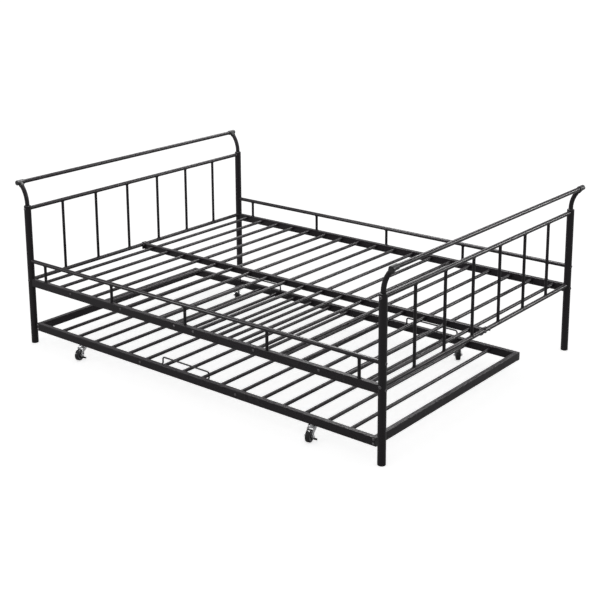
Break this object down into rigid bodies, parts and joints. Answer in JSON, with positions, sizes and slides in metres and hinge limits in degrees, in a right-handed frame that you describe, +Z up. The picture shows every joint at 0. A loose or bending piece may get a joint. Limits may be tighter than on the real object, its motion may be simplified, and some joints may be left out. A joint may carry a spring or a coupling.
{
  "type": "trundle bed",
  "caption": "Black tubular steel bed with scrolled spindle ends, low guard rails, and a slatted trundle on casters that slides out under its front side.",
  "frame": {"origin": "on the floor, under the middle of the bed", "axes": "+X runs along the bed from the headboard to the footboard, +Y from the front side, where the trundle comes out, to the back side, +Z up"},
  "size_m": [2.0648, 1.4952, 0.7672],
  "materials": {
    "powder_coat": "satin black powder coat on steel tube",
    "black_plastic": "black moulded plastic with a fine grain",
    "black_bolts": "black coated steel bolts",
    "insert_plastic": "hidden threaded plugs",
    "zinc": "bright zinc plated pressed steel",
    "wheel_plastic": "black hard plastic wheel with a grey side ring"
  },
  "bodies": {
    "bed_frame": {"post_head_front": "powder_coat", "post_head_back": "powder_coat", "post_foot_front": "powder_coat", "post_foot_back": "powder_coat", "headboard_scroll_rail": "powder_coat", "footboard_scroll_rail": "powder_coat", "headboard_upper_rail": "powder_coat", "footboard_upper_rail": "powder_coat", "headboard_lower_rail": "powder_coat", "footboard_lower_rail": "powder_coat", "headboard_spindles": "powder_coat", "footboard_spindles": "powder_coat", "side_rail_front": "powder_coat", "side_rail_back": "powder_coat", "guard_rail_front": "powder_coat", "guard_rail_back": "powder_coat", "guard_uprights_front": "powder_coat", "guard_uprights_back": "powder_coat", "slats_front": "powder_coat", "slats_back": "powder_coat", "foot_caps": "black_plastic", "post_bushes": "black_plastic", "scroll_arms": "powder_coat", "scroll_tees": "black_plastic", "tee_screws": "black_bolts", "centre_rail": "powder_coat", "centre_rail_hooks": "powder_coat", "hook_bolts": "black_bolts", "slat_inserts": "insert_plastic", "slat_bolts": "black_bolts", "rail_inserts": "insert_plastic", "post_bolts": "black_bolts"},
    "trundle": {"trundle_head_rail": "powder_coat", "trundle_foot_rail": "powder_coat", "trundle_front_rail": "powder_coat", "trundle_back_rail": "powder_coat", "trundle_slats": "powder_coat", "trundle_slat_inserts": "insert_plastic", "trundle_slat_bolts": "black_bolts", "trundle_end_blocks": "insert_plastic", "trundle_corner_bolts": "black_bolts", "trundle_rail_caps": "black_plastic", "mattress_stop_front": "powder_coat", "mattress_stop_back_head": "powder_coat", "mattress_stop_back_foot": "powder_coat", "caster_stems": "zinc"},
    "caster_front_head_swivel": {"caster_front_head_fork": "zinc", "caster_front_head_axle": "zinc"},
    "caster_front_head_wheel": {"caster_front_head_wheel": "wheel_plastic"},
    "caster_front_head_pedal": {"caster_front_head_pedal": "black_plastic"},
    "caster_front_foot_swivel": {"caster_front_foot_fork": "zinc", "caster_front_foot_axle": "zinc"},
    "caster_front_foot_wheel": {"caster_front_foot_wheel": "wheel_plastic"},
    "caster_front_foot_pedal": {"caster_front_foot_pedal": "black_plastic"},
    "caster_back_head_swivel": {"caster_back_head_fork": "zinc", "caster_back_head_axle": "zinc"},
    "caster_back_head_wheel": {"caster_back_head_wheel": "wheel_plastic"},
    "caster_back_foot_swivel": {"caster_back_foot_fork": "zinc", "caster_back_foot_axle": "zinc"},
    "caster_back_foot_wheel": {"caster_back_foot_wheel": "wheel_plastic"}
  },
  "joints": [
    {"name": "trundle_slide", "type": "slide", "parent": "bed_frame", "child": "trundle", "axis": [0, -1, 0], "range_m": [0, 1.15]},
    {"name": "caster_front_head_swivel", "type": "hinge", "parent": "trundle", "child": "caster_front_head_swivel", "pos_m": [-0.6512, -0.71, 0.055], "axis": [0, 0, 1], "continuous": true},
    {"name": "caster_front_head_roll", "type": "hinge", "parent": "caster_front_head_swivel", "child": "caster_front_head_wheel", "pos_m": [-0.64539, -0.73329, 0.025], "axis": [0.9703, 0.2419, 0], "continuous": true},
    {"name": "caster_front_head_brake", "type": "hinge", "parent": "caster_front_head_swivel", "child": "caster_front_head_pedal", "pos_m": [-0.64539, -0.73329, 0.025], "axis": [0.9703, 0.2419, 0], "range_deg": [-22, 0]},
    {"name": "caster_front_foot_swivel", "type": "hinge", "parent": "trundle", "child": "caster_front_foot_swivel", "pos_m": [0.6512, -0.71, 0.055], "axis": [0, 0, 1], "continuous": true},
    {"name": "caster_front_foot_roll", "type": "hinge", "parent": "caster_front_foot_swivel", "child": "caster_front_foot_wheel", "pos_m": [0.65701, -0.73329, 0.025], "axis": [0.9703, 0.2419, 0], "continuous": true},
    {"name": "caster_front_foot_brake", "type": "hinge", "parent": "caster_front_foot_swivel", "child": "caster_front_foot_pedal", "pos_m": [0.65701, -0.73329, 0.025], "axis": [0.9703, 0.2419, 0], "range_deg": [-22, 0]},
    {"name": "caster_back_head_swivel", "type": "hinge", "parent": "trundle", "child": "caster_back_head_swivel", "pos_m": [-0.6512, 0.332, 0.055], "axis": [0, 0, 1], "continuous": true},
    {"name": "caster_back_head_roll", "type": "hinge", "parent": "caster_back_head_swivel", "child": "caster_back_head_wheel", "pos_m": [-0.63642, 0.31309, 0.025], "axis": [0.788, 0.6157, 0], "continuous": true},
    {"name": "caster_back_foot_swivel", "type": "hinge", "parent": "trundle", "child": "caster_back_foot_swivel", "pos_m": [0.6512, 0.332, 0.055], "axis": [0, 0, 1], "continuous": true},
    {"name": "caster_back_foot_roll", "type": "hinge", "parent": "caster_back_foot_swivel", "child": "caster_back_foot_wheel", "pos_m": [0.66598, 0.31309, 0.025], "axis": [0.788, 0.6157, 0], "continuous": true}
  ]
}
